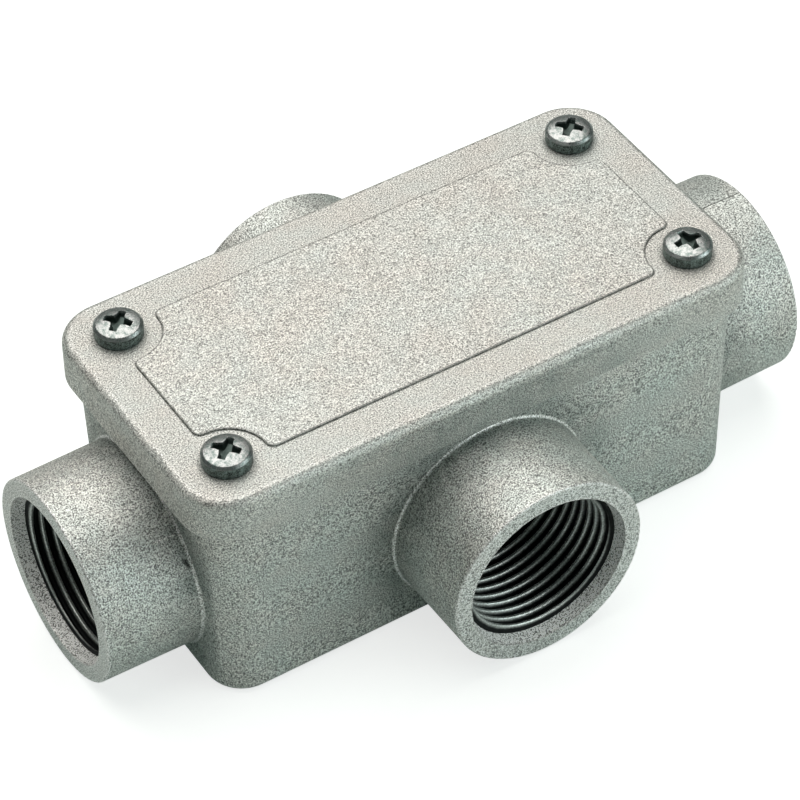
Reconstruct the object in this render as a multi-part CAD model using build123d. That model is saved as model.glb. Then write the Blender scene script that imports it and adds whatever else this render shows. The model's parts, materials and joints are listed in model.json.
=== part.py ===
from build123d import *

import os
from math import hypot, radians, tan

# Cast junction box with four threaded hubs in a cross, a capped lid, a flat gasket and an earth terminal.
# The frame stands on the middle of the base: X runs along the long hubs, Z points up to the lid.

# Hubs and their female pipe thread, 3/4 inch parallel, 14 threads to the inch
thread_diameter = 26.44
hub_wall = 3.45
hub_draft = 0.8
hub_base_gap = 0.1
hub_length_x = 16.3
hub_length_y = 17.1
hub_root_round = 0.4
hub_mouth_round = 0.35
entry_diameter = 27.6
entry_depth = 2.6
tap_runout = 2.2

# Tub of the housing
body_length = 93.4
body_width = 44.3
body_corner = 6.25
body_draft = 1.0
base_round = 1.6
hub_to_rim = 5.3
rim_wall = 3.1
cavity_corner = 3.5
floor_thickness = 3.0
core_draft = 0.6
floor_round = 1.0

# Corner pillars and the lid screws that they take
screw_inset = 6.75
pillar_diameter = 8.2
pillar_round = 1.2
screw_diameter = 4.0
screw_core_diameter = 3.5
screw_length = 16.0
screw_head_diameter = 7.6
screw_head_side = 1.9
screw_head_bevel = 0.4
screw_head_height = 3.0
shank_tip_chamfer = 0.45
thread_play = 0.05
hole_reserve = 3.0
hole_chamfer = 0.4
drill_point_angle = 118.0

# Cross recess in every screw head
recess_span = 4.4
recess_arm = 1.15
recess_depth = 2.0
recess_taper = 14.0

# Gasket
gasket_thickness = 1.5
gasket_inset = 0.35

# Lid
plate_thickness = 3.05
skirt_overlap = 3.0
skirt_thickness = 1.57
skirt_clearance = 0.25
lid_corner = 8.0
lid_draft = 0.8
lid_edge_round = 1.3
skirt_foot_round = 0.3
lid_inner_round = 0.5
screw_clearance = 0.25

# Raised field on the lid's top
field_margin = 7.25
field_height = 0.3
field_screw_radius = 6.5
field_round = 1.4
field_edge_round = 0.12

# Earth terminal on the floor
earth_x = -27.0
earth_wall_gap = 6.4
earth_boss_diameter = 9.0
earth_boss_height = 4.0
earth_screw_length = 6.0
earth_tip_gap = 0.5
earth_washer_diameter = 8.6
earth_washer_thickness = 0.8

# Distance below which two places count as the same
same_place = 0.01

# Sizes that follow from the ones above
thread_radius = thread_diameter / 2
hub_radius = thread_radius + hub_wall
hub_root_radius = hub_radius + max(hub_length_x, hub_length_y) * tan(radians(hub_draft))
hub_height = hub_base_gap + hub_root_radius
rim_height = hub_height + hub_root_radius + hub_to_rim
body_growth = rim_height * tan(radians(body_draft))
rim_length = body_length + 2 * body_growth
rim_width = body_width + 2 * body_growth
rim_corner = body_corner + body_growth
cavity_length = rim_length - 2 * rim_wall
cavity_width = rim_width - 2 * rim_wall
cavity_depth = rim_height - floor_thickness
screw_x = rim_length / 2 - screw_inset
screw_y = rim_width / 2 - screw_inset
screw_places = {
    "front_left": (-screw_x, -screw_y),
    "front_right": (screw_x, -screw_y),
    "back_left": (-screw_x, screw_y),
    "back_right": (screw_x, screw_y),
}
tapped_radius = screw_diameter / 2 + thread_play
hub_mouths = {
    "right": (0, body_length / 2, hub_length_x),
    "back": (90, body_width / 2, hub_length_y),
    "left": (180, body_length / 2, hub_length_x),
    "front": (270, body_width / 2, hub_length_y),
}
seat_height = rim_height + gasket_thickness
lid_height = seat_height + plate_thickness
skirt_foot = rim_height - skirt_overlap
skirt_inner_length = rim_length + 2 * skirt_clearance
skirt_inner_width = rim_width + 2 * skirt_clearance
lid_length = skirt_inner_length + 2 * skirt_thickness
lid_width = skirt_inner_width + 2 * skirt_thickness
lid_depth = lid_height - skirt_foot
earth_y = cavity_width / 2 - earth_wall_gap
earth_seat = floor_thickness + earth_boss_height
earth_head_seat = earth_seat + earth_washer_thickness


def cavity_plan():
    """The cavity seen from above: a rounded rectangle that leaves a rounded pillar in each corner."""
    plan = RectangleRounded(cavity_length, cavity_width, cavity_corner)
    for x, y in screw_places.values():
        plan -= Pos(x, y) * Circle(pillar_diameter / 2)
    corners = [v for v in plan.vertices() if is_pillar_root(v)]
    return fillet(corners, pillar_round)


def is_pillar_root(vertex):
    """True for the corner where a pillar's round side meets a straight wall."""
    reaches = [hypot(vertex.X - x, vertex.Y - y) for x, y in screw_places.values()]
    return any(abs(reach - pillar_diameter / 2) < same_place for reach in reaches)


def cavity_core():
    """The core that forms the inside: it narrows towards the floor and rounds into it."""
    core = extrude(Pos(Z=rim_height) * cavity_plan(), cavity_depth, dir=(0, 0, -1), taper=core_draft)
    floor_edges = core.faces().sort_by(Axis.Z)[0].edges()
    return fillet(floor_edges, floor_round)


def tub():
    """The outer body, which widens towards the rim and is rounded along the base."""
    body = extrude(RectangleRounded(body_length, body_width, body_corner), rim_height, taper=-body_draft)
    base_edges = body.faces().sort_by(Axis.Z)[0].edges()
    return fillet(base_edges, base_round)


def hub_frame(angle):
    """A plane on the hubs' axis height, with its Z along the hub that points at this angle."""
    return Rot(Z=angle) * Pos(Z=hub_height) * Rot(Y=90)


def hub(angle, wall, length):
    """One hub: a cone that starts inside the wall and narrows to its mouth, with a rounded rim."""
    start = wall - rim_wall / 2
    reach = wall + length - start
    root_radius = hub_radius + reach * tan(radians(hub_draft))
    cone = Cone(root_radius, hub_radius, reach, align=(Align.CENTER, Align.CENTER, Align.MIN))
    rim = cone.edges().filter_by(GeomType.CIRCLE).sort_by(Axis.Z)[-1]
    return hub_frame(angle) * Pos(Z=start) * fillet(rim, hub_mouth_round)


def bore(angle, wall, length):
    """The hole of one hub: a tapered entry, the thread's outer diameter and the run-out of the tap."""
    mouth = wall + length
    inner_wall = wall - rim_wall
    profile = Polyline(
        (0, mouth),
        (entry_diameter / 2, mouth),
        (thread_radius, mouth - entry_depth),
        (thread_radius, inner_wall - tap_runout),
        (0, inner_wall - tap_runout),
        close=True,
    )
    turned = revolve(make_face(Plane.XZ * profile), Axis.Z)
    return hub_frame(angle) * turned


def is_on_hub_root(point, angle, wall, length):
    """True for a point on this hub's cone that lies about as far out as the wall."""
    turned = point.rotate(Axis.Z, -angle)
    cone_radius = hub_radius + (wall + length - turned.X) * tan(radians(hub_draft))
    from_axis = hypot(turned.Y, turned.Z - hub_height)
    return abs(from_axis - cone_radius) < same_place and abs(turned.X - wall) < base_round


def is_hub_root(edge):
    """True for an edge that runs round a hub where the hub leaves the wall."""
    points = [edge @ 0, edge @ 0.5, edge @ 1]
    return any(all(is_on_hub_root(point, *place) for point in points) for place in hub_mouths.values())


def blind_hole(radius, depth, chamfer_size):
    """A drilled hole downwards from Z 0, with a chamfered mouth and the drill's pointed end."""
    point = radius / tan(radians(drill_point_angle / 2))
    profile = Polyline(
        (0, 0),
        (radius + chamfer_size, 0),
        (radius, -chamfer_size),
        (radius, -depth),
        (0, -depth - point),
        close=True,
    )
    return revolve(make_face(Plane.XZ * profile), Axis.Z)


def housing():
    """The casting: tub, four hubs, corner pillars and earth boss, with every hole machined in it."""
    body = tub()
    for place in hub_mouths.values():
        body += hub(*place)
    body = fillet([edge for edge in body.edges() if is_hub_root(edge)], hub_root_round)
    body -= cavity_core()
    boss = Cone(
        earth_boss_diameter / 2 + earth_boss_height * tan(radians(core_draft)),
        earth_boss_diameter / 2,
        earth_boss_height,
        align=(Align.CENTER, Align.CENTER, Align.MIN),
    )
    body += Pos(earth_x, earth_y, floor_thickness) * boss
    for place in hub_mouths.values():
        body -= bore(*place)
    hole_depth = screw_length - gasket_thickness - plate_thickness + hole_reserve
    for x, y in screw_places.values():
        body -= Pos(x, y, rim_height) * blind_hole(tapped_radius, hole_depth, hole_chamfer)
    earth_depth = earth_screw_length - earth_washer_thickness + earth_tip_gap
    earth_hole = Cylinder(tapped_radius, earth_depth, align=(Align.CENTER, Align.CENTER, Align.MAX))
    body -= Pos(earth_x, earth_y, earth_seat) * earth_hole
    return body


def gasket():
    """The flat die-cut seal on the rim, with a pad and a hole at each screw."""
    outline = RectangleRounded(
        rim_length - 2 * gasket_inset,
        rim_width - 2 * gasket_inset,
        rim_corner - gasket_inset,
    )
    outline -= offset(cavity_plan(), gasket_inset)
    for x, y in screw_places.values():
        outline -= Pos(x, y) * Circle(screw_diameter / 2 + screw_clearance)
    return extrude(Pos(Z=rim_height) * outline, gasket_thickness)


def field_plan():
    """The raised field's outline: a rectangle that bends round each screw."""
    plan = Rectangle(lid_length - 2 * field_margin, lid_width - 2 * field_margin)
    for x, y in screw_places.values():
        plan -= Pos(x, y) * Circle(field_screw_radius)
    return fillet(plan.vertices(), field_round)


def field():
    """The raised field, with its top edge rounded off."""
    pad = extrude(field_plan(), field_height)
    return fillet(pad.faces().sort_by(Axis.Z)[-1].edges(), field_edge_round)


def lid():
    """The cap: a plate with a rounded edge and a skirt that reaches down over the rim."""
    cap = extrude(RectangleRounded(lid_length, lid_width, lid_corner), lid_depth, taper=lid_draft)
    cap = fillet(cap.faces().sort_by(Axis.Z)[-1].edges(), lid_edge_round)
    cap = fillet(cap.faces().sort_by(Axis.Z)[0].edges(), skirt_foot_round)
    pocket_corner = rim_corner + skirt_clearance
    pocket = extrude(
        RectangleRounded(skirt_inner_length, skirt_inner_width, pocket_corner),
        seat_height - skirt_foot,
    )
    pocket = fillet(pocket.faces().sort_by(Axis.Z)[-1].edges(), lid_inner_round)
    cap = Pos(Z=skirt_foot) * (cap - pocket)
    cap += Pos(Z=lid_height) * field()
    hole = Cylinder(
        screw_diameter / 2 + screw_clearance,
        plate_thickness,
        align=(Align.CENTER, Align.CENTER, Align.MIN),
    )
    for x, y in screw_places.values():
        cap -= Pos(x, y, seat_height) * hole
    return cap


def cross_recess():
    """The driver's cross, cut down from Z 0 and narrowing to its bottom."""
    cross = Rectangle(recess_span, recess_arm) + Rectangle(recess_arm, recess_span)
    return extrude(cross, recess_depth, dir=(0, 0, -1), taper=recess_taper)


def pan_head_screw(length):
    """A pan-head screw that hangs down from Z 0: low crowned head, cross recess, shank with a chamfered tip."""
    radius = screw_core_diameter / 2
    head = screw_head_diameter / 2
    crown_edge = head - screw_head_bevel
    tip = radius - shank_tip_chamfer
    shank_side = Line((tip, -length), (radius, shank_tip_chamfer - length))
    shank_wall = Line(shank_side @ 1, (radius, 0))
    underside = Line(shank_wall @ 1, (head, 0))
    side = Line(underside @ 1, (head, screw_head_side))
    bevel = Line(side @ 1, (crown_edge, screw_head_side + screw_head_bevel))
    crown = TangentArc((0, screw_head_height), bevel @ 1, tangent=(1, 0))
    axis_line = Polyline(crown @ 0, (0, -length), shank_side @ 0)
    outline = shank_side + shank_wall + underside + side + bevel + crown + axis_line
    screw = revolve(make_face(Plane.XZ * outline), Axis.Z)
    return screw - Pos(Z=screw_head_height) * cross_recess()


def earth_washer():
    """The plain washer that clamps the earth wire's lug."""
    ring = Circle(earth_washer_diameter / 2) - Circle(screw_diameter / 2 + screw_clearance)
    return Pos(earth_x, earth_y, earth_seat) * extrude(ring, earth_washer_thickness)


def pieces():
    """Every separate piece of the box, by name, in its place."""
    named = {"housing": housing(), "gasket": gasket(), "lid": lid()}
    for corner, (x, y) in screw_places.items():
        named["lid_screw_" + corner] = Pos(x, y, lid_height) * pan_head_screw(screw_length)
    named["earth_washer"] = earth_washer()
    named["earth_screw"] = Pos(earth_x, earth_y, earth_head_seat) * pan_head_screw(earth_screw_length)
    return named


os.makedirs("parts", exist_ok=True)
for name, piece in pieces().items():
    export_step(piece, "parts/" + name + ".step")
    print(name, round(piece.volume, 1), piece.bounding_box().size)
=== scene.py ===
import json
import logging
import math
from collections.abc import Callable
from dataclasses import dataclass, field
from enum import Enum
from functools import reduce
from typing import Union

import bpy
import numpy as np
from mathutils import Matrix, Vector


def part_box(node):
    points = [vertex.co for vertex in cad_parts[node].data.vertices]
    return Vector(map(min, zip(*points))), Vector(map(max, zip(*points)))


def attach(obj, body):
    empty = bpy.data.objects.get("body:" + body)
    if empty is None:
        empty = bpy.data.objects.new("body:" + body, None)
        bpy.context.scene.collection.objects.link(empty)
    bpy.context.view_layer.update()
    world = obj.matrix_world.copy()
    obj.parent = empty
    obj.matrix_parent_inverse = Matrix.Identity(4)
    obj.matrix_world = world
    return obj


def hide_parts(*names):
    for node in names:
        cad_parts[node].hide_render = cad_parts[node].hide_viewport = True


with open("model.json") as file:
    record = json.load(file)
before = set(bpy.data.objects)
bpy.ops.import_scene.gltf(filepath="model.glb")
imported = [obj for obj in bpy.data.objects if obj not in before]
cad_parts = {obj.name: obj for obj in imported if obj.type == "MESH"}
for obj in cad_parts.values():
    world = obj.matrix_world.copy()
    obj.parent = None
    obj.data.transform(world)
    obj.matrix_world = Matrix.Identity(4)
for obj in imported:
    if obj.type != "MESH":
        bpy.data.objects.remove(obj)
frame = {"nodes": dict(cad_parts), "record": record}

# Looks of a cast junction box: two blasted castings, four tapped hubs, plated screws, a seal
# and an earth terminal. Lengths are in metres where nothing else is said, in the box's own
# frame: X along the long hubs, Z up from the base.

log = logging.getLogger("junction_box")
logging.basicConfig(level=logging.INFO, format="%(name)s: %(message)s")

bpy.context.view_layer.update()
MM = 0.001
RECORD = frame["record"]
PIT = "pit"
FIELD_HEIGHT_MM = 0.3
WHITE = (1.0, 1.0, 1.0)

Number = Union[float, "Wire"]
Colour = tuple[float, float, float]


class Body(Enum):
    """The two bodies that move against each other."""

    HOUSING = "housing"
    COVER = "cover"


class Slot(Enum):
    """The record's material slots."""

    CAST_HOUSING = "cast_housing"
    CAST_LID = "cast_lid"
    ZINC_STEEL = "zinc_steel"
    SEAL_RUBBER = "seal_rubber"
    EARTH_BRASS = "earth_brass"


class Graph:
    """The node tree of one material or of the world."""

    def __init__(self, owner: Union[bpy.types.Material, bpy.types.World]) -> None:
        """Start an empty tree.

        Args:
            owner: The material or the world.
        """
        self.owner = owner
        owner.use_nodes = True
        self.tree = owner.node_tree
        self.tree.nodes.clear()

    def node(
        self, kind: str, settings: dict | None = None, sockets: dict | None = None,
    ) -> bpy.types.Node:
        """Add one node of any type.

        Args:
            kind: The node's type.
            settings: Its settings, set first.
            sockets: Its input sockets' values or links, by name or number.

        Returns:
            The new node.
        """
        made = self.tree.nodes.new(kind)
        for key, value in (settings or {}).items():
            setattr(made, key, value)
        for key, value in (sockets or {}).items():
            if isinstance(value, Wire):
                self.tree.links.new(value.socket, made.inputs[key])
            else:
                made.inputs[key].default_value = value
        return made

    def wire(
        self,
        kind: str,
        settings: dict | None = None,
        sockets: dict | None = None,
        output: int | str = 0,
    ) -> "Wire":
        """Add one node as node() does and return its output of this name or number."""
        return Wire(self, self.node(kind, settings, sockets).outputs[output])

    def math(self, operation: str, *values: Number, clamp: bool = False) -> "Wire":
        """Add a Math node on these values and return its result."""
        settings = {"operation": operation, "use_clamp": clamp}
        return self.wire("ShaderNodeMath", settings, dict(enumerate(values)))

    def vector_math(self, operation: str, sockets: dict, output: int = 0) -> "Wire":
        """Add a Vector Math node with these sockets and return one of its outputs."""
        return self.wire("ShaderNodeVectorMath", {"operation": operation}, sockets, output)

    def place(self) -> tuple["Wire", "Wire", "Wire", "Wire"]:
        """Return the place on the object as a vector and as X, Y and Z in millimetres."""
        vector = self.wire("ShaderNodeTexCoord", output="Object")
        split = self.node("ShaderNodeSeparateXYZ", sockets={0: vector})
        x, y, z = (Wire(self, out) / MM for out in split.outputs)
        return vector, x, y, z

    def noise(self, vector: "Wire", size: float, detail: float = 2.0) -> "Wire":
        """Noise about a middle of nought.

        Args:
            vector: Where it is read.
            size: The size of its spots in metres.
            detail: How many finer layers it has.

        Returns:
            A value that mostly lies between minus and plus a half.
        """
        level = self.wire(
            "ShaderNodeTexNoise",
            {"noise_dimensions": "3D"},
            {"Vector": vector, "Scale": 1.0 / size, "Detail": detail, "Roughness": 0.6},
        )
        return (level - 0.5) * 2.0

    def mix(self, share: Number, first: "Colour | Wire", second: "Colour | Wire") -> "Wire":
        """Mix two colours: the first where the share is 0 and the second where it is 1."""
        return self.wire(
            "ShaderNodeMix",
            {"data_type": "RGBA", "clamp_factor": True},
            {0: share, 6: opaque(first), 7: opaque(second)},
            2,
        )

    def tint(self, colour: "Colour | Wire", level: "Wire") -> "Wire":
        """Multiply a colour by a value."""
        return self.vector_math("SCALE", {0: colour, 3: level})

    def bump(
        self, height: "Wire", depth: float, strength: float, normal: "Wire | None" = None,
    ) -> "Wire":
        """Turn a height between 0 and 1 into a normal.

        Args:
            height: The height.
            depth: What a height of 1 stands for, in metres.
            strength: The share of it that shows.
            normal: A normal that this one is laid over.

        Returns:
            The new normal.
        """
        sockets = {"Strength": strength, "Distance": depth, "Height": height}
        if normal is not None:
            sockets["Normal"] = normal
        return self.wire("ShaderNodeBump", sockets=sockets)

    def surface(
        self, colour: "Wire", metallic: Number, roughness: "Wire", normal: "Wire",
    ) -> bpy.types.Material:
        """Close the tree with a Principled shader.

        Args:
            colour: The base colour.
            metallic: How far it is a metal.
            roughness: Its roughness.
            normal: Its normal.

        Returns:
            The material.
        """
        shader = self.wire(
            "ShaderNodeBsdfPrincipled",
            sockets={
                "Base Color": colour,
                "Metallic": metallic,
                "Roughness": roughness,
                "Normal": normal,
            },
        )
        self.node("ShaderNodeOutputMaterial", sockets={0: shader})
        return self.owner


def new_graph(name: str) -> Graph:
    """Start the tree of a new material."""
    return Graph(bpy.data.materials.new(name))


def opaque(colour: "Colour | Wire") -> "tuple[float, ...] | Wire":
    """Give a plain colour its fourth number, and leave a wire as it is."""
    return colour if isinstance(colour, Wire) else (*colour, 1.0)


class Wire:
    """A socket that can be reckoned with: each operator adds the Math node that it names."""

    def __init__(self, graph: Graph, socket: bpy.types.NodeSocket) -> None:
        """Wrap a socket.

        Args:
            graph: The tree that it is in.
            socket: The output socket.
        """
        self.graph = graph
        self.socket = socket

    def __add__(self, other: Number) -> "Wire":
        """Self plus other."""
        return self.graph.math("ADD", self, other)

    __radd__ = __add__

    def __mul__(self, other: Number) -> "Wire":
        """Self times other."""
        return self.graph.math("MULTIPLY", self, other)

    __rmul__ = __mul__

    def __sub__(self, other: Number) -> "Wire":
        """Self minus other."""
        return self.graph.math("SUBTRACT", self, other)

    def __rsub__(self, other: Number) -> "Wire":
        """Other minus self."""
        return self.graph.math("SUBTRACT", other, self)

    def __truediv__(self, other: Number) -> "Wire":
        """Self over other."""
        return self.graph.math("DIVIDE", self, other)

    def __rtruediv__(self, other: Number) -> "Wire":
        """Other over self."""
        return self.graph.math("DIVIDE", other, self)

    def __abs__(self) -> "Wire":
        """Self without its sign."""
        return self.graph.math("ABSOLUTE", self)

    def at_least(self, other: Number) -> "Wire":
        """The greater of the two."""
        return self.graph.math("MAXIMUM", self, other)

    def at_most(self, other: Number) -> "Wire":
        """The smaller of the two."""
        return self.graph.math("MINIMUM", self, other)

    def hypot(self, other: "Wire") -> "Wire":
        """The root of the two squares' sum."""
        return self.graph.math("SQRT", self * self + other * other)

    def clamped(self) -> "Wire":
        """Self held between 0 and 1."""
        return self.graph.math("ADD", self, 0.0, clamp=True)

    def rise(self, low: float, high: float) -> "Wire":
        """0 below low and 1 above high, with a smooth rise between them."""
        if low > high:
            return 1.0 - self.rise(high, low)
        return self.graph.wire(
            "ShaderNodeMapRange",
            {"interpolation_type": "SMOOTHSTEP"},
            {0: self, 1: low, 2: high, 3: 0.0, 4: 1.0},
        )

    def band(self, middle: float, half_width: float) -> "Wire":
        """1 at the middle, falling smoothly to 0 half a width away."""
        return abs(self - middle).rise(half_width, 0.0)


def outline_distance(x: Wire, y: Wire, half_x: float, half_y: float, corner: float) -> Wire:
    """Distance in millimetres from a rounded rectangle's outline, below nought inside it.

    With q the place's absolute value less the half size plus the corner's radius, the distance
    is the length of the parts of q above nought, plus the larger part of q where both lie below
    nought, less the radius.

    Args:
        x: Place along X.
        y: Place along Y.
        half_x: Half the rectangle's length.
        half_y: Half its width.
        corner: Its corners' radius.

    Returns:
        The distance.
    """
    over_x = abs(x) - (half_x - corner)
    over_y = abs(y) - (half_y - corner)
    outside = over_x.at_least(0.0).hypot(over_y.at_least(0.0))
    return outside + over_x.at_least(over_y).at_most(0.0) - corner


@dataclass(frozen=True)
class SkinMasks:
    """Where a casting's skin differs from the rest: rubbed edges and painted highlights, painted
    shade, marks, cut faces and the bores' entries. Each mask runs from 0 to 1.
    """

    bright: Wire
    painted_shade: Wire
    dark: Wire
    machined: Number = 0.0
    entry: Number = 0.0


@dataclass(frozen=True)
class Stroke:
    """A short scratch, pit or nick in a casting: a dark line between two places, in millimetres."""

    start: tuple[float, float, float]
    end: tuple[float, float, float]
    half_width: float = 0.14

    def distance(self, graph: Graph, place: Wire) -> Wire:
        """Distance from the line, where 1 is the half width.

        With a the start, e the way from there to the end and p the place, the nearest share of
        the way is (p - a) . e / e . e, held between 0 and 1, and the distance is the length of
        (p - a) less that share of e.

        Args:
            graph: The material's tree.
            place: The place in metres.

        Returns:
            The distance over the half width.
        """
        start = Vector(self.start) * MM
        way = Vector(self.end) * MM - start
        gone = graph.vector_math("SUBTRACT", {0: place, 1: start})
        along = graph.vector_math("DOT_PRODUCT", {0: gone, 1: way}, 1)
        share = (along / way.length_squared).clamped()
        nearest = graph.vector_math("SCALE", {0: way, 3: share})
        short = graph.vector_math("SUBTRACT", {0: gone, 1: nearest})
        return graph.vector_math("LENGTH", {0: short}, 1) / (self.half_width * MM)


@dataclass(frozen=True)
class CastFinish:
    """Blasted cast aluminium: a fine pebbled skin, faint clouding, rubbed edges with painted
    highlights, and painted shade in hollows, creases and under edges.

    The sizes of the spots and the bumps' depths are in metres. Each swing is how far a noise
    moves the colour's level, and each share is how far a mask reaches.
    """

    name: str
    warm: Colour = (0.65, 0.635, 0.60)
    cool: Colour = (0.61, 0.63, 0.605)
    # The first colour is for rubbed edges and painted highlights, the next for painted shade in
    # hollows, creases and undersides, and the last for marks and painted shade lines.
    bright: Colour = (0.90, 0.89, 0.86)
    painted_shade: Colour = (0.25, 0.28, 0.265)
    dark: Colour = (0.055, 0.06, 0.055)
    cut: Colour = (0.92, 0.93, 0.91)
    grain: float = 0.00022
    pebble: float = 0.0011
    swell: float = 0.0045
    cloud: float = 0.018
    grain_swing: float = 1.8
    pebble_swing: float = 0.16
    cloud_swing: float = 0.10
    level_limits: tuple[float, float] = (0.2, 1.6)
    bump_depth: float = 0.00015
    swell_depth: float = 0.0002
    painted_shade_share: float = 0.8
    bright_share: float = 0.7
    cut_calm: float = 0.45
    entry_swing: float = 0.8
    entry_matt: float = 0.8
    metallic: float = 0.85
    roughness: float = 0.53

    def material(self, edge_map: "EdgeMap") -> bpy.types.Material:
        """Build the material.

        Args:
            edge_map: Tells where the casting's rubbed edges and painted highlights, its painted
                shade and its marks are.

        Returns:
            The material.
        """
        graph = new_graph(self.name)
        vector, x, y, z = graph.place()
        grain = graph.noise(vector, self.grain, 1.0)
        pebble = graph.noise(vector, self.pebble, 2.0)
        swell = graph.noise(vector, self.swell, 2.0)
        cloud = graph.noise(vector, self.cloud, 3.0)
        skin_masks = edge_map.skin_masks(graph, vector, x, y, z)
        # Painted light: highlights are painted along edges together with their rubbing, shade is
        # painted into hollows, creases and undersides, and painted shade lines join the marks.
        bright = (skin_masks.bright * (0.8 + 0.9 * pebble + 0.6 * swell)).clamped()
        painted_shade = (skin_masks.painted_shade * (0.85 + 0.9 * swell + 0.5 * pebble)).clamped()
        dark = (skin_masks.dark * (1.0 + 0.8 * pebble)).clamped()
        skin = graph.mix((0.5 + 1.3 * cloud + 0.5 * swell).clamped(), self.warm, self.cool)
        skin = graph.mix(painted_shade * self.painted_shade_share, skin, self.painted_shade)
        skin = graph.mix(bright * self.bright_share, skin, self.bright)
        skin = graph.mix(dark, skin, self.dark)
        cut = graph.mix(bright * self.bright_share, self.cut, self.bright)
        skin = graph.mix(skin_masks.machined, skin, cut)
        calm = 1.0 - self.cut_calm * skin_masks.machined + self.entry_swing * skin_masks.entry
        swing = self.grain_swing * calm
        metallic = self.metallic * (1.0 - self.entry_matt * skin_masks.entry)
        low, high = self.level_limits
        level = 1.0 + swing * grain + self.pebble_swing * pebble + self.cloud_swing * cloud
        colour = graph.tint(skin, level.at_least(low).at_most(high))
        fine = graph.bump(0.5 + 0.5 * grain + 0.25 * pebble, self.bump_depth, 0.8)
        normal = graph.bump(0.5 + 0.5 * swell, self.swell_depth, 0.3, fine)
        roughness = (self.roughness + 0.10 * pebble - 0.12 * bright + 0.12 * painted_shade).clamped()
        return graph.surface(colour, metallic, roughness, normal)


@dataclass(frozen=True)
class ScrewFinish:
    """Plated or turned screw metal: patchy face, dark mottled side, and painted shade in the cross,
    near black, that deepens with its depth.

    The sizes of the spots and the bumps' depth are in metres, heights in millimetres.
    """

    name: str
    face: Colour
    patch: Colour
    side: Colour
    # The recess colour is painted shade for the cross.
    pit: Colour
    patch_size: float = 0.0008
    roughness: float = 0.34
    side_height: float = 1.86
    side_blend: float = 0.12
    pit_blend: tuple[float, float] = (0.04, 0.4)
    bump_depth: float = 0.00005

    def material(self, seat: float) -> bpy.types.Material:
        """Build the material.

        Args:
            seat: The height in millimetres from which the head rises.

        Returns:
            The material.
        """
        graph = new_graph(self.name)
        vector, _, _, z = graph.place()
        patch = graph.noise(vector, self.patch_size, 4.0)
        fleck = graph.noise(vector, self.patch_size / 4, 2.0)
        share = (0.34 + 2.3 * patch + 1.1 * fleck).clamped()
        top = seat + self.side_height
        low = z.rise(top + self.side_blend, top - self.side_blend)
        depth = graph.wire("ShaderNodeAttribute", {"attribute_name": PIT}, output="Fac")
        mottle = (1.0 + 1.8 * patch + 2.4 * fleck).at_least(0.2)
        metal = graph.mix(share, self.face, self.patch)
        metal = graph.mix(low, metal, graph.tint(self.side, mottle))
        # Painted shade: the cross darkens with its depth.
        metal = graph.mix(depth.rise(*self.pit_blend), metal, self.pit)
        roughness = (self.roughness + 0.18 * patch + 0.12 * fleck + 0.15 * low).clamped()
        normal = graph.bump(0.5 + 0.4 * fleck + 0.3 * patch, self.bump_depth, 0.6)
        return graph.surface(metal, 1.0, roughness, normal)


@dataclass(frozen=True)
class RubberFinish:
    """Matt black rubber sheet with a fine moulded skin and a little dust."""

    name: str
    colour: Colour = (0.022, 0.022, 0.024)
    dust: Colour = (0.11, 0.11, 0.105)
    skin_size: float = 0.0003
    bump_depth: float = 0.00006
    roughness: float = 0.72

    def material(self) -> bpy.types.Material:
        """Build and return the material."""
        graph = new_graph(self.name)
        vector, _, _, _ = graph.place()
        skin = graph.noise(vector, self.skin_size, 2.0)
        cloud = graph.noise(vector, self.skin_size * 12, 3.0)
        colour = graph.mix((cloud * 0.8 + 0.12 + 0.3 * skin).clamped(), self.colour, self.dust)
        roughness = (self.roughness + 0.2 * cloud).clamped()
        normal = graph.bump(0.5 + 0.5 * skin, self.bump_depth, 0.6)
        return graph.surface(colour, 0.0, roughness, normal)


@dataclass(frozen=True)
class ThreadFinish:
    """Cut thread in aluminium: bright crests and flanks, with the grooves darkened nearly to black,
    partly by residue and partly as painted shade.

    The radii are in millimetres, the sizes of the spots and the bumps' depth in metres.
    """

    name: str
    crest: Colour = (0.60, 0.63, 0.61)
    # The groove colour is residue and painted shade down in the thread.
    groove: Colour = (0.010, 0.012, 0.012)
    groove_radius: float = 12.75
    crest_radius: float = 12.08
    stain_size: float = 0.0012
    fleck_size: float = 0.00025
    bump_depth: float = 0.00004
    metallic: float = 0.8

    def material(self, radial: Callable[[Wire, Wire, Wire], Wire]) -> bpy.types.Material:
        """Build the material.

        Args:
            radial: Gives the distance from the hub's axis for X, Y and Z.

        Returns:
            The material.
        """
        graph = new_graph(self.name)
        vector, x, y, z = graph.place()
        stain = graph.noise(vector, self.stain_size, 3.0)
        fleck = graph.noise(vector, self.fleck_size, 2.0)
        reach = radial(x, y, z) + 0.12 * stain
        depth = reach.rise(self.crest_radius, self.groove_radius)
        # Darker with depth into the grooves: residue and painted shade.
        metal = graph.mix(depth, self.crest, self.groove)
        colour = graph.tint(metal, (1.0 + 1.1 * fleck).at_least(0.2))
        roughness = (0.36 + 0.3 * depth + 0.12 * stain).clamped()
        normal = graph.bump(0.5 + 0.5 * fleck, self.bump_depth, 0.6)
        return graph.surface(colour, self.metallic, roughness, normal)


@dataclass
class EdgeMap:
    """Where a casting's edges are rubbed bright or given a painted highlight, where painted shade
    darkens its hollows, creases and undersides, and where it is marked.
    """

    def skin_masks(self, graph: Graph, place: Wire, x: Wire, y: Wire, z: Wire) -> SkinMasks:
        """Work out the masks.

        Args:
            graph: The material's tree.
            place: The place as a vector in metres.
            x: Place along X in millimetres.
            y: Place along Y.
            z: Height.

        Returns:
            The masks.
        """
        raise NotImplementedError

    @staticmethod
    def strokes(graph: Graph, place: Wire, strokes: tuple[Stroke, ...]) -> Wire:
        """1 on the nearest stroke, falling to 0 at its half width."""
        nearest = reduce(Wire.at_most, (stroke.distance(graph, place) for stroke in strokes))
        return nearest.rise(1.0, 0.3)


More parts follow.
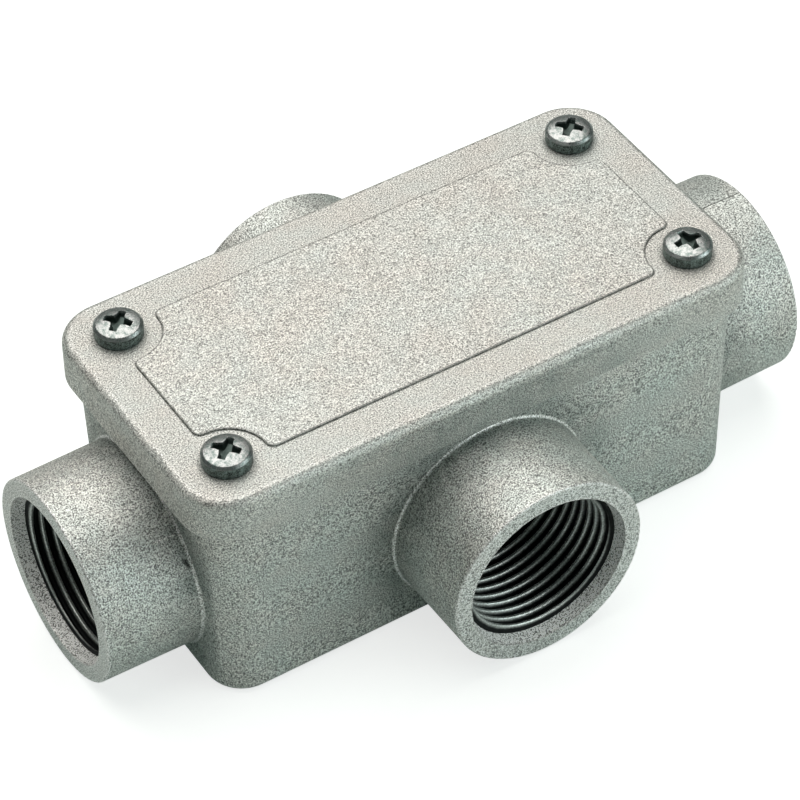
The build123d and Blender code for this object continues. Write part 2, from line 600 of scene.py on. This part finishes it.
@dataclass
class LidEdges(EdgeMap):
    """The lid: rubbed edges with a painted highlight on the top edge, a painted shade line round
    the raised field, painted shade round the screw seats, along the skirt's middle, under the top
    edge and inside, and marks.

    Lengths are in millimetres. The fields edge_highlight_and_wear, foot_wear, seat_shade,
    under_shade, skirt_shade and mark_dark are the masks' strengths, and step_shade holds those of
    the painted shade at the line's foot and at its edge.
    """

    half_x: float
    half_y: float
    corner: float
    top: float
    foot: float
    screws: list[tuple[float, float]]
    screw_radius: float
    field_margin: float = 7.25
    field_round: float = 1.4
    cut_radius: float = 6.5
    edge_round: float = 1.3
    seat_width: float = 1.0
    skirt_fade: float = 12.0
    edge_highlight_and_wear: float = 0.4
    foot_wear: float = 0.6
    seat_shade: float = 0.65
    under_shade: float = 0.5
    skirt_shade: float = 0.65
    step_shade: tuple[float, float] = (0.62, 0.60)
    mark_dark: float = 0.75
    marks: tuple[Stroke, ...] = (
        Stroke((-37.0, -6.4, 44.07), (-35.6, -7.3, 44.07), 0.13),
        Stroke((-35.3, -7.5, 44.07), (-34.7, -7.9, 44.07), 0.11),
        Stroke((24.1, 0.9, 44.07), (23.9, 0.1, 44.07), 0.10),
        Stroke((19.5, 3.8, 44.07), (19.7, 3.8, 44.07), 0.16),
        Stroke((0.4, 3.9, 44.07), (0.5, 4.1, 44.07), 0.15),
        Stroke((-14.3, 7.2, 44.07), (-14.3, 7.4, 44.07), 0.17),
        Stroke((4.6, -6.0, 44.07), (4.7, -6.0, 44.07), 0.18),
        Stroke((-31.5, -15.4, 43.77), (-30.3, -16.0, 43.77), 0.12),
    )

    def skin_masks(self, graph: Graph, place: Wire, x: Wire, y: Wire, z: Wire) -> SkinMasks:
        """Work out the masks.

        The field's outline is a rectangle cut by a circle round each screw: with a and b the two
        distances and r the corners' round, the joint distance is the larger of the two held
        below -r, plus the length of (a + r, b + r) with each held above nought.
        """
        out = outline_distance(x, y, self.half_x, self.half_y, self.corner)
        border = self.top - FIELD_HEIGHT_MM
        screw_reach = reduce(
            Wire.at_most, ((x - screw_x).hypot(y - screw_y) for screw_x, screw_y in self.screws),
        )
        margin = self.field_margin
        sides = outline_distance(x, y, self.half_x - margin, self.half_y - margin, 0.0)
        cuts = self.cut_radius - screw_reach
        r = self.field_round
        corner = (sides + r).at_least(0.0).hypot((cuts + r).at_least(0.0))
        field_out = sides.at_least(cuts).at_most(-r) + corner
        on_top = z.rise(border - 0.15, border - 0.05)
        # Painted shade: dark lines at the raised field's foot and along its edge, where the step's
        # shade falls.
        step_foot = field_out.band(0.04, 0.17) * self.step_shade[0]
        step_edge = field_out.band(-0.13, 0.20) * self.step_shade[1]
        step = step_foot.at_least(step_edge) * on_top
        # The top edge's line is partly rubbing and partly a painted highlight on its rounding; the
        # skirt's foot is rubbed.
        edge_line = out.band(-self.edge_round - 0.05, 0.25) * on_top
        foot_edge = out.rise(-0.6, -0.2) * z.rise(self.foot + 0.4, self.foot + 0.1)
        # Painted shade: the lower band of the top edge's rounding, the lid's hollow inside, the
        # skirt's middle, and a ring of contact shade round each screw seat.
        under_edge = out.band(-0.75, 0.30) * z.rise(border - 0.6, border - 0.2)
        inside = out.rise(-1.7, -2.4) * z.rise(border - 1.3, border - 2.1)
        upright = out.rise(-0.5, -0.1) * z.rise(border - 1.3, border - 2.0)
        skirt = upright * abs(x).rise(self.half_x - self.skirt_fade, self.skirt_fade)
        seats = screw_reach.rise(self.screw_radius + self.seat_width, self.screw_radius + 0.1)
        marks = self.strokes(graph, place, self.marks)
        return SkinMasks(
            bright=(edge_line * self.edge_highlight_and_wear).at_least(foot_edge * self.foot_wear),
            painted_shade=inside.at_least(seats * self.seat_shade)
            .at_least(under_edge * self.under_shade)
            .at_least(skirt * self.skirt_shade),
            dark=step.at_least(marks * self.mark_dark),
        )


@dataclass
class HousingEdges(EdgeMap):
    """The housing: hub mouths are rubbed to bright lines with a painted highlight, the roots carry
    a painted highlight line and painted shade, and a mould line runs along one hub with painted
    shade behind it.

    Lengths are in millimetres. The drafts are the shares by which a surface leans; ring_cut,
    base_wear, ridge_wear, under_shade, shade_strength, behind_shade, mould_dark and nick_dark are
    the masks' strengths, and root_shade is how far the painted shade reaches from the root.
    """

    wall_x: float
    wall_y: float
    mouth_x: float
    mouth_y: float
    axis_z: float
    mouth_radius: float
    entry_radius: float
    wall_draft: float = math.tan(math.radians(1.0))
    hub_draft: float = math.tan(math.radians(0.8))
    root_round: float = 0.4
    root_shade: float = 10.0
    mould_line_y: float = 0.06
    ring_cut: float = 0.38
    base_wear: float = 0.3
    ridge_wear: float = 0.7
    under_shade: float = 0.9
    shade_strength: float = 0.75
    behind_shade: float = 0.3
    mould_dark: float = 0.8
    nick_dark: float = 0.85
    nicks: tuple[Stroke, ...] = (
        Stroke((-48.3, -14.3, 25.8), (-47.8, -14.9, 24.8), 0.45),
        Stroke((4.0, -39.2, 33.3), (4.3, -39.2, 33.2), 0.35),
        Stroke((-2.2, -22.8, 33.7), (-1.9, -22.8, 33.7), 0.30),
    )
    ridge: Stroke = Stroke((-51.5, -11.7, 29.1), (-47.4, -11.8, 28.95), 0.22)

    def skin_masks(self, graph: Graph, place: Wire, x: Wire, y: Wire, z: Wire) -> SkinMasks:
        """Work out the masks. A root's line lies where the drafted wall and hub meet."""
        hubs = []
        for along, across, wall, mouth in (
            (abs(x), y, self.wall_x, self.mouth_x),
            (abs(y), x, self.wall_y, self.mouth_y),
        ):
            reach = across.hypot(z - self.axis_z)
            side = self.mouth_radius + (mouth - along) * self.hub_draft
            off_side = reach - side
            off_wall = along - (wall + self.wall_draft * z)
            at_mouth = along.rise(mouth - 0.45, mouth - 0.2)
            # Bright lines: the mouth's outer and inner rims are rubbing with a painted highlight,
            # and the root's line is a painted highlight along its fillet.
            outer = at_mouth * off_side.band(-0.25, 0.35)
            inner = at_mouth * reach.band(self.entry_radius + 0.1, 0.3)
            outside = off_wall.rise(-1.0, -0.5) * off_side.rise(-1.0, -0.5)
            r = self.root_round
            root = off_wall.rise(r + 0.1, r * 0.5) * off_side.rise(r + 0.1, r * 0.5) * outside
            in_bore = reach.rise(self.entry_radius, self.entry_radius - 0.1)
            entry = in_bore * along.rise(mouth - 3.0, mouth - 2.4)
            rings = outer.at_least(inner).at_least(root)
            cut = (along.rise(mouth - 0.5, mouth - 0.3) * self.ring_cut).at_least(entry)
            # Painted shade: a painted contact shadow on the hub beside the root's line, and painted
            # shade on the wall and the hub near the root.
            under_line = off_wall.band(r + 0.35, 0.32) * off_side.rise(r, 0.0) * outside
            wide = self.root_shade
            shade = off_wall.rise(wide, 0.0) * off_side.rise(wide, 0.0) * outside
            foot = (under_line * self.under_shade).at_least(shade * self.shade_strength)
            hubs.append((rings, foot * (1.0 - root), cut, entry))
        bright, painted_shade, machined, entry = (reduce(Wire.at_least, masks) for masks in zip(*hubs))
        above = z.rise(self.axis_z + 10.0, self.axis_z + 12.0)
        on_hub = x.rise(self.wall_x + 2.0, self.wall_x + 2.6) * above
        mould_line = y.band(self.mould_line_y, 0.20) * on_hub
        # Painted shade on the hub's top behind the mould line, where the surface turns from the
        # light.
        behind = y.rise(self.mould_line_y, self.mould_line_y + 0.1) * on_hub
        base = z.rise(1.2, 0.3)
        nicks = self.strokes(graph, place, self.nicks)
        ridge = self.strokes(graph, place, (self.ridge,))
        return SkinMasks(
            bright=bright.at_least(base * self.base_wear).at_least(ridge * self.ridge_wear),
            painted_shade=painted_shade.at_least(behind * self.behind_shade),
            dark=(mould_line * self.mould_dark).at_least(nicks * self.nick_dark),
            machined=machined,
            entry=entry,
        )


def shell_mesh(
    name: str,
    points: np.ndarray,
    quads: np.ndarray,
    triangles: np.ndarray = np.empty((0, 3), int),
    pit: np.ndarray | None = None,
) -> bpy.types.Mesh:
    """Put whole arrays into a mesh.

    Args:
        name: The mesh's name.
        points: Places, one row each.
        quads: Four point numbers a row.
        triangles: Three point numbers a row.
        pit: How deep each point lies in a recess, from 0 to 1.

    Returns:
        The mesh, smooth shaded.
    """
    mesh = bpy.data.meshes.new(name)
    loops = np.concatenate([quads.ravel(), triangles.ravel()]).astype(np.int32)
    starts = np.concatenate([np.arange(len(quads)) * 4, quads.size + np.arange(len(triangles)) * 3])
    mesh.vertices.add(len(points))
    mesh.vertices.foreach_set("co", points.astype(np.float32).ravel())
    mesh.loops.add(len(loops))
    mesh.loops.foreach_set("vertex_index", loops)
    mesh.polygons.add(len(starts))
    mesh.polygons.foreach_set("loop_start", starts.astype(np.int32))
    mesh.polygons.foreach_set("use_smooth", np.ones(len(starts), dtype=bool))
    mesh.update(calc_edges=True)
    mesh.validate()
    if pit is not None:
        mesh.attributes.new(PIT, "FLOAT", "POINT").data.foreach_set("value", pit.astype(np.float32))
    return mesh


def grid_quads(grid: np.ndarray) -> np.ndarray:
    """Quads between the neighbours of a grid of point numbers."""
    corners = [grid[:-1, :-1], grid[1:, :-1], grid[1:, 1:], grid[:-1, 1:]]
    return np.stack(corners, axis=-1).reshape(-1, 4)


def ring_quads(rows: int, around: int, closed: bool = False) -> np.ndarray:
    """Quads between rows of points that each run once round an axis.

    Args:
        rows: How many rows.
        around: How many points a row has.
        closed: Whether the last row joins the first.

    Returns:
        Point numbers, wound so that a profile that climbs faces away from the axis.
    """
    numbers = np.arange(rows * around).reshape(rows, around)
    return grid_quads(np.pad(numbers, ((0, int(closed)), (0, 1)), mode="wrap").T)


def smooth_rise(low: float, high: float, value: np.ndarray) -> np.ndarray:
    """0 below low, 1 above high, and three t squared less two t cubed between them."""
    t = np.clip((value - low) / (high - low), 0.0, 1.0)
    return t * t * (3.0 - 2.0 * t)


def turned_points(radii: np.ndarray, angle: np.ndarray, height: np.ndarray) -> np.ndarray:
    """Points round Z, one row each, at radii, angles and heights that spread to one shape."""
    parts = np.broadcast_arrays(radii * np.cos(angle), radii * np.sin(angle), height)
    return np.stack(parts, axis=-1).reshape(-1, 3)


def add_object(name: str, data: bpy.types.ID) -> bpy.types.Object:
    """Put a mesh, a lamp or a camera in the scene."""
    made = bpy.data.objects.new(name, data)
    bpy.context.scene.collection.objects.link(made)
    return made


def add_piece(
    name: str, mesh: bpy.types.Mesh, material: bpy.types.Material, body: Body,
) -> bpy.types.Object:
    """Put a mesh in the scene, finish it and let it ride on a body.

    Args:
        name: The piece's name.
        mesh: Its mesh, in place.
        material: Its material.
        body: The body that it rides on.

    Returns:
        The piece.
    """
    piece = add_object(name, mesh)
    mesh.materials.append(material)
    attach(piece, body.value)
    log.info("%s: %d faces", name, len(mesh.polygons))
    return piece


@dataclass
class HubThread:
    """The female pipe thread of one hub: a ring with a helical ridge of rounded form inside.

    lead_in, run_out, phase, flank_foot and flank_run are in pitches, and rounding is the smooth
    step's share of the ridge's form.
    """

    name: str
    place: Vector
    axis: Vector
    radius: float
    length: float
    pitch: float = 25.4 * MM / 14
    depth: float = 1.162 * MM
    backing: float = 0.08 * MM
    end_step: float = 0.15 * MM
    around: int = 144
    rows_per_pitch: int = 16
    lead_in: float = 0.2
    run_out: float = 0.8
    phase: float = 0.35
    flank_foot: float = 0.40
    flank_run: float = 0.30
    rounding: float = 0.35

    def ridge(self, phase: np.ndarray) -> np.ndarray:
        """Height of the ridge for a phase in turns.

        With s the distance in pitches from the crest, a line falls from 1 to 0 over the flank's
        run down to its foot, and a smooth step of the same line is blended in to round both ends.
        """
        from_crest = np.abs(phase - np.round(phase))
        line = np.clip((self.flank_foot - from_crest) / self.flank_run, 0.0, 1.0)
        return (1.0 - self.rounding) * line + self.rounding * smooth_rise(0.0, 1.0, line)

    def points(self) -> tuple[np.ndarray, int]:
        """Work out the ring.

        A point at the distance u along the axis and the turn t lies at the radius
        R - d * ridge(u / p - t - c), where p is the pitch, d the depth and c the phase, faded in
        near the mouth and out near the inner end. The root stands a little proud of the bore, and
        drops behind it in a short step at both ends.

        Returns:
            The points and the number of rows.
        """
        rows = int(self.length / self.pitch * self.rows_per_pitch) + 1
        u = np.linspace(0.0, self.length, rows)[:, None]
        turn = (np.arange(self.around) / self.around)[None, :]

        def between(first: float, last: float) -> np.ndarray:
            """0 at both ends, rising over the first run and falling over the last."""
            return smooth_rise(0.0, first, u) * smooth_rise(0.0, last, self.length - u)

        fade = between(self.run_out * self.pitch, self.lead_in * self.pitch)
        proud = between(self.end_step, self.end_step)
        root = self.radius + self.backing * (1.0 - 2.0 * proud)
        ridge = self.ridge(u / self.pitch - turn - self.phase)
        inner = root - (self.depth - self.backing) * fade * ridge
        outer = np.full_like(inner, self.radius + 2 * self.backing)
        radii = np.concatenate([inner, outer[::-1]])
        local = turned_points(radii, 2.0 * math.pi * turn, np.concatenate([u, u[::-1]]))
        x, y, z = local.T[..., None]
        side = self.axis.orthogonal().normalized()
        up = self.axis.cross(side)
        start = self.place - self.axis * (self.length / 2)
        points = np.array(start) + z * np.array(self.axis) + x * np.array(side) + y * np.array(up)
        return points, len(radii)

    def radial(self, x: Wire, y: Wire, z: Wire) -> Wire:
        """Distance from the axis in millimetres."""
        across = y if abs(self.axis.x) > 0.5 else x
        return across.hypot(z - self.place.z / MM)

    def build(self, finish: ThreadFinish) -> bpy.types.Object:
        """Build the thread, dress it and return it."""
        points, rows = self.points()
        quads = ring_quads(rows, self.around, closed=True)[:, ::-1]
        mesh = shell_mesh(self.name, points, quads)
        material = finish.material(self.radial)
        return add_piece(self.name, mesh, material, Body.HOUSING)


@dataclass
class PanHeadScrew:
    """A pan-head screw: crowned head with a driver's cross, and a threaded shank."""

    name: str
    node: str
    body: Body
    slot: Slot
    seat: float
    turned: float
    centre: Vector = field(init=False)
    head_radius: float = field(init=False)
    head_top: float = field(init=False)
    tip: float = field(init=False)
    side_height: float = 1.9 * MM
    bevel: float = 0.4 * MM
    bevel_blend: float = 0.06 * MM
    arm_half: float = 0.60 * MM
    arm_reach: float = 2.25 * MM
    arm_flare: float = 0.22 * MM
    wall_lean: float = 0.13 * MM
    end_lean: float = 0.45 * MM
    recess_depth: float = 1.5 * MM
    major_radius: float = 1.97 * MM
    thread_depth: float = 0.40 * MM
    pitch: float = 0.7 * MM
    shank_overlap: float = 0.2 * MM
    tip_length: float = 0.8 * MM
    tip_taper: float = 0.45 * MM
    sharp_angle: float = math.radians(38)
    cells: int = 96
    shank_around: int = 40
    shank_rows_per_pitch: int = 10

    def __post_init__(self) -> None:
        """Take the screw's place and size from the box of the CAD node that it stands for."""
        low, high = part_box(self.node)
        self.centre = (low + high) / 2
        self.head_radius = (high.x - low.x) / 2
        self.head_top = high.z
        self.tip = low.z

    def crown(self, reach: np.ndarray) -> np.ndarray:
        """Height of the crowned face above the seat at a distance from the axis.

        A circle's arc falls from the apex to the bevel's upper edge, and the bevel falls from
        there at 45 degrees; a soft minimum joins the two.
        """
        total = self.head_top - self.seat
        rim = self.head_radius - self.bevel
        sag = total - (self.side_height + self.bevel)
        curve = (rim * rim + sag * sag) / (2.0 * sag)
        arc = total - curve + np.sqrt(np.maximum(curve * curve - reach * reach, 0.0))
        slope = self.side_height + (self.head_radius - reach)
        blend = self.bevel_blend
        gap = np.clip(0.5 + 0.5 * (slope - arc) / blend, 0.0, 1.0)
        return slope * (1 - gap) + arc * gap - blend * gap * (1 - gap) * 0.5

    def recess(self, x: np.ndarray, y: np.ndarray) -> np.ndarray:
        """Depth of the cross at a place across the head.

        Each arm is a slot whose half width grows a little towards the middle. Its walls rise by
        half the depth over the walls' lean and its ends by most of it over the ends' lean, its
        floor falls towards the middle, and the deeper of the two slots counts.
        """
        def arm(along: np.ndarray, across: np.ndarray) -> np.ndarray:
            """Depth of one slot that runs both ways from the middle."""
            along = np.abs(along)
            share = along / self.arm_reach
            half = self.arm_half + self.arm_flare * smooth_rise(0.75, 0.25, share)
            floor = self.recess_depth * (1.0 - 0.45 * share**2)
            wall = (half - np.abs(across)) / self.wall_lean * self.recess_depth * 0.5
            end = (self.arm_reach - along) / self.end_lean * self.recess_depth * 0.8
            return np.clip(np.minimum(np.minimum(wall, end), floor), 0.0, None)

        return np.maximum(arm(x, y), arm(y, x))

    def head(self) -> tuple[np.ndarray, np.ndarray, np.ndarray, np.ndarray]:
        """Work out the head as one closed shell.

        A square grid is laid on the disc so that its outer line becomes the rim: each square
        ring of half side s becomes the circle of radius s, at angles that grow evenly along the
        side. The face's height is the crown's less the cross's depth, and further rows carry the
        rim down the side and in under the head.

        Returns:
            The points, the quads, the underside's triangles and each point's share of the
            cross's depth.
        """
        steps = np.linspace(-1.0, 1.0, self.cells + 1)
        u, v = np.meshgrid(steps, steps, indexing="ij")
        wide = np.abs(u) >= np.abs(v)
        side = np.where(wide, u, v)
        other = np.where(wide, v, u)
        safe = np.where(np.abs(side) < 1e-9, 1.0, side)
        angle = (math.pi / 4) * other / safe
        reach = self.head_radius * side
        x = np.where(wide, reach * np.cos(angle), reach * np.sin(angle))
        y = np.where(wide, reach * np.sin(angle), reach * np.cos(angle))
        depth = self.recess(x, y)
        face = np.stack([x, y, self.crown(np.hypot(x, y)) - depth], axis=-1).reshape(-1, 3)
        count = self.cells + 1
        grid = np.arange(count * count).reshape(count, count)
        quads = grid_quads(grid)
        rim = np.concatenate([grid[:-1, 0], grid[-1, :-1], grid[:0:-1, -1], grid[0, :0:-1]])
        around = len(rim)
        turn = np.arctan2(face[rim, 1], face[rim, 0])
        outer = self.head_radius
        profile = np.array(
            [
                (outer, 0.62 * self.side_height),
                (outer, 0.13 * self.side_height),
                (outer - 0.10 * MM, 0.04 * self.side_height),
                (outer - 0.26 * MM, 0.0),
                (0.55 * outer, 0.0),
                (0.02 * outer, 0.0),
            ]
        )
        rows = turned_points(profile[:, :1], turn, profile[:, 1:])
        below = len(face) + np.arange(len(rows)).reshape(-1, around)
        numbers = np.concatenate([rim[None, :], below])
        sides = grid_quads(np.pad(numbers, ((0, 0), (0, 1)), mode="wrap"))
        points = np.concatenate([face, rows, [[0.0, 0.0, 0.0]]])
        last = numbers[-1]
        cap = np.stack([last, np.full(around, len(points) - 1), np.roll(last, -1)], axis=-1)
        share = np.concatenate([depth.ravel() / self.recess_depth, np.zeros(len(rows) + 1)])
        return points, np.concatenate([quads, sides]), cap, share

    def shank(self) -> tuple[np.ndarray, np.ndarray, np.ndarray]:
        """Work out the shank as one closed shell that starts inside the head.

        A point at the distance u below the head and the turn t lies at the major radius less the
        thread's depth times a blunted triangle of u / pitch + t, and the last stretch narrows to
        the tip.

        Returns:
            The points, the quads and the two caps' triangles.
        """
        around = self.shank_around
        length = self.seat - self.tip
        rows = int(length / self.pitch * self.shank_rows_per_pitch) + 1
        u = np.linspace(-self.shank_overlap, length, rows)[:, None]
        turn = (np.arange(around) / around)[None, :]
        phase = u / self.pitch + turn
        from_crest = np.abs(phase - np.round(phase)) * 2.0
        groove = np.clip((from_crest - 0.12) / 0.76, 0.0, 1.0)
        taper = smooth_rise(length - self.tip_length, length, u) * self.tip_taper
        radii = self.major_radius - self.thread_depth * groove - taper
        sides = turned_points(radii, 2.0 * math.pi * turn, -u)
        ends = [[0.0, 0.0, self.shank_overlap], [0.0, 0.0, -length]]
        points = np.concatenate([sides, ends])
        quads = ring_quads(rows, around)[:, ::-1]
        first = np.arange(around)
        last = first + (rows - 1) * around
        top = np.stack([first, np.roll(first, -1), np.full(around, rows * around)], axis=-1)
        bottom = np.stack([np.roll(last, -1), last, np.full(around, rows * around + 1)], axis=-1)
        return points, quads, np.concatenate([top, bottom])

    def build(self, finish: ScrewFinish) -> bpy.types.Object:
        """Build the screw, dress it, let it stand for its CAD node and return it."""
        head, head_quads, underside, share = self.head()
        shank, shank_quads, caps = self.shank()
        points = np.concatenate([head, shank])
        quads = np.concatenate([head_quads, shank_quads + len(head)])
        triangles = np.concatenate([underside, caps + len(head)])
        turn = Matrix.Rotation(math.radians(self.turned), 3, "Z")
        points = points @ np.array(turn).T + np.array([self.centre.x, self.centre.y, self.seat])
        pit = np.concatenate([share, np.zeros(len(shank))])
        mesh = shell_mesh(self.name, points, quads, triangles, pit)
        mesh.set_sharp_from_angle(angle=self.sharp_angle)
        piece = add_piece(self.name, mesh, finish.material(self.seat / MM), self.body)
        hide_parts(self.node)
        return piece


@dataclass
class Hubs:
    """The four tapped hubs of the housing."""

    finish: ThreadFinish = ThreadFinish("cut_thread")
    mouth_to_thread: float = 2.2 * MM
    inner_end_x: float = 44.0 * MM
    inner_end_y: float = 19.45 * MM

    def build(self) -> None:
        """Cut a thread along each threaded hole that the record states."""
        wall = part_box("housing")[1]
        for mount in RECORD["mounts"]:
            if mount["kind"] != "threaded_hole":
                continue
            axis = Vector(mount["axis"])
            long_way = abs(axis.x) > 0.5
            outer = (wall.x if long_way else wall.y) - self.mouth_to_thread
            inner = self.inner_end_x if long_way else self.inner_end_y
            middle = axis * ((outer + inner) / 2)
            middle.z = Vector(mount["pos_m"]).z
            thread = HubThread(
                name="thread_" + mount["name"],
                place=middle,
                axis=axis,
                radius=mount["dims"]["r_mm"] * MM,
                length=outer - inner,
            )
            thread.build(self.finish)


@dataclass
class LidScrews:
    """The four lid screws, each with its cross turned its own way."""

    finish: ScrewFinish = ScrewFinish(
        "bright_zinc",
        face=(0.52, 0.535, 0.53),
        patch=(0.22, 0.27, 0.255),
        side=(0.15, 0.19, 0.18),
        pit=(0.10, 0.13, 0.12),
    )
    turned: dict[str, float] = field(
        default_factory=lambda: {
            "front_left": 41.0, "front_right": 0.0, "back_left": 40.0, "back_right": 42.0,
        }
    )

    def build(self) -> None:
        """Build each screw where its CAD node stands."""
        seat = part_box("lid")[1].z - FIELD_HEIGHT_MM * MM
        for corner, angle in self.turned.items():
            node = "lid_screw_" + corner
            screw = PanHeadScrew(
                "screw_" + corner, node, Body.COVER, Slot.ZINC_STEEL, seat, angle,
            )
            screw.build(self.finish)


@dataclass
class EarthTerminal:
    """The earth screw on its boss, over its plain washer."""

    finish: ScrewFinish = ScrewFinish(
        "turned_brass",
        face=(0.72, 0.52, 0.24),
        patch=(0.42, 0.29, 0.13),
        side=(0.50, 0.35, 0.16),
        pit=(0.06, 0.045, 0.02),
    )
    turned: float = 22.0

    def build(self) -> None:
        """Build the screw and dress the washer."""
        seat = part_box("earth_washer")[1].z
        screw = PanHeadScrew(
            "screw_earth", "earth_screw", Body.HOUSING, Slot.EARTH_BRASS, seat, self.turned,
        )
        screw.build(self.finish)
        dress("earth_washer", self.finish.material(seat / MM))


def dress(node: str, material: bpy.types.Material) -> None:
    """Give a CAD node's material slots this material."""
    for slot in frame["nodes"][node].material_slots:
        slot.material = material


@dataclass
class Castings:
    """The housing and the lid, and the seal between them. Lengths are in millimetres."""

    lid_corner: float = 8.0
    screw_head: float = 3.8
    wall_x: float = 46.7
    wall_y: float = 22.15
    mouth_radius: float = 16.67
    entry_radius: float = 13.8

    def build(self) -> None:
        """Dress both castings and the seal."""
        screws = []
        for node in frame["nodes"]:
            if node.startswith("lid_screw"):
                low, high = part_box(node)
                screws.append(((low.x + high.x) / 2 / MM, (low.y + high.y) / 2 / MM))
        low, high = (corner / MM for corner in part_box("lid"))
        lid_edges = LidEdges(
            half_x=high.x,
            half_y=high.y,
            corner=self.lid_corner,
            top=high.z,
            foot=low.z,
            screws=screws,
            screw_radius=self.screw_head,
        )
        dress("lid", CastFinish("cast_lid_skin").material(lid_edges))
        low, high = (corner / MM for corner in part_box("housing"))
        housing_edges = HousingEdges(
            wall_x=self.wall_x,
            wall_y=self.wall_y,
            mouth_x=high.x,
            mouth_y=high.y,
            axis_z=RECORD["mounts"][0]["pos_m"][2] / MM,
            mouth_radius=self.mouth_radius,
            entry_radius=self.entry_radius,
        )
        skin = CastFinish(
            "cast_housing_skin",
            warm=(0.635, 0.63, 0.60),
            cool=(0.585, 0.62, 0.595),
            grain=0.00023,
            grain_swing=2.3,
            pebble_swing=0.18,
            bump_depth=0.00014,
        )
        dress("housing", skin.material(housing_edges))
        dress("gasket", RubberFinish("seal_sheet").material())
        log.info("castings and seal dressed")


@dataclass(frozen=True)
class Lamp:
    """One square soft lamp, placed by its direction and distance from the box's middle."""

    name: str
    direction: tuple[float, float, float]
    distance: float
    size: float
    watts: float
    colour: Colour

    def hang(self, middle: Vector) -> None:
        """Hang the lamp and point it at the middle."""
        data = bpy.data.lights.new(self.name, "AREA")
        data.shape = "SQUARE"
        data.size = self.size
        data.energy = self.watts
        data.color = self.colour
        lamp = add_object(self.name, data)
        away = Vector(self.direction).normalized()
        turned = away.to_track_quat("Z", "Y").to_matrix().to_4x4()
        lamp.matrix_world = Matrix.Translation(middle + away * self.distance) @ turned


@dataclass
class Studio:
    """The camera, the lamps, the world and the pale floor."""

    azimuth: float = -30.958
    elevation: float = 44.266
    roll: float = -1.743
    target: tuple[float, float, float] = (-2.391 * MM, -1.28 * MM, 23.507 * MM)
    distance: float = 548.902 * MM
    focal_pixels: float = 3549.859
    frame_pixels: float = 800.0
    sensor: float = 36.0
    middle: tuple[float, float, float] = (0.0, 0.0, 20 * MM)
    lamps: tuple[Lamp, ...] = (
        Lamp("key", (0.04, 0.36, 0.93), 0.95, 1.40, 12.3, (1.0, 0.965, 0.925)),
        Lamp("front_fill", (0.656, -0.656, 0.375), 0.95, 0.60, 2.4, (0.88, 1.0, 0.98)),
        Lamp("low_fill", (0.253, -0.945, 0.208), 0.95, 0.30, 0.95, (0.96, 1.0, 0.98)),
    )
    world_colour: Colour = (0.78, 1.0, 0.94)
    world_light: float = 0.05
    floor_half: float = 3.0
    floor_drop: float = 0.05 * MM
    paper: Colour = (0.58, 0.62, 0.605)
    camera_glow: float = 0.70
    mirrored_glow: float = 0.09
    mirrored_sky: float = 0.06

    def back(self) -> Vector:
        """The direction from the target to the camera."""
        a, e = math.radians(self.azimuth), math.radians(self.elevation)
        return Vector((math.sin(a) * math.cos(e), -math.cos(a) * math.cos(e), math.sin(e)))

    def camera(self) -> None:
        """Stand the camera where the photograph's was."""
        a, roll = math.radians(self.azimuth), math.radians(self.roll)
        back = self.back()
        right = Vector((math.cos(a), math.sin(a), 0.0))
        up = back.cross(right)
        turned_right = right * math.cos(roll) + up * math.sin(roll)
        turned_up = up * math.cos(roll) - right * math.sin(roll)
        data = bpy.data.cameras.new("photo_camera")
        data.sensor_width = self.sensor
        data.lens = self.focal_pixels / self.frame_pixels * self.sensor
        data.clip_start = 0.01
        camera = add_object("photo_camera", data)
        place = Vector(self.target) + back * self.distance
        turn = Matrix((turned_right, turned_up, back)).transposed().to_4x4()
        camera.matrix_world = Matrix.Translation(place) @ turn
        bpy.context.scene.camera = camera

    @staticmethod
    def seen(graph: Graph, direct: float, mirrored: float) -> Wire:
        """A strength: camera and glass see the first value, polished metal the second."""
        path = graph.node("ShaderNodeLightPath")
        rays = ("Is Camera Ray", "Is Transmission Ray", "Is Glossy Ray")
        camera, clear, glossy = (Wire(graph, path.outputs[name]) for name in rays)
        return (camera.at_least(clear) * direct).at_least(glossy * mirrored)

    def world(self) -> None:
        """A plain dim world that the camera sees as white."""
        world = bpy.data.worlds.new("studio")
        graph = Graph(world)
        white = self.seen(graph, 1.0, 0.0)
        colour = graph.mix(white, self.world_colour, WHITE)
        strength = self.seen(graph, 1.0, self.mirrored_sky).at_least(self.world_light)
        light = graph.wire("ShaderNodeBackground", sockets={0: colour, 1: strength})
        graph.node("ShaderNodeOutputWorld", sockets={0: light})
        bpy.context.scene.world = world

    def floor(self) -> None:
        """A wide pale floor that keeps the box's shadow and otherwise shows white."""
        steps = np.linspace(-self.floor_half, self.floor_half, 9)
        x, y = np.meshgrid(steps, steps, indexing="ij")
        points = np.stack([x, y, np.full_like(x, -self.floor_drop)], axis=-1).reshape(-1, 3)
        grid = np.arange(x.size).reshape(x.shape)
        mesh = shell_mesh("studio_floor", points, grid_quads(grid))
        graph = new_graph("pale_floor")
        paper = graph.wire("ShaderNodeBsdfDiffuse", sockets={0: (*self.paper, 1.0)})
        glow = graph.wire(
            "ShaderNodeEmission",
            sockets={
                0: graph.mix(self.seen(graph, 1.0, 0.0), self.world_colour, WHITE),
                1: self.seen(graph, self.camera_glow, self.mirrored_glow),
            },
        )
        both = graph.wire("ShaderNodeAddShader", sockets={0: paper, 1: glow})
        graph.node("ShaderNodeOutputMaterial", sockets={0: both})
        mesh.materials.append(graph.owner)
        floor = add_object("studio_floor", mesh)

    def build(self) -> None:
        """Set up the whole studio."""
        self.camera()
        for lamp in self.lamps:
            lamp.hang(Vector(self.middle))
        self.world()
        self.floor()
        bpy.context.scene.view_settings.view_transform = "Standard"
        log.info("studio set")


def main() -> None:
    """Build the pieces in order."""
    for part in (Castings(), Hubs(), LidScrews(), EarthTerminal(), Studio()):
        part.build()


if __name__ == "__main__":
    main()
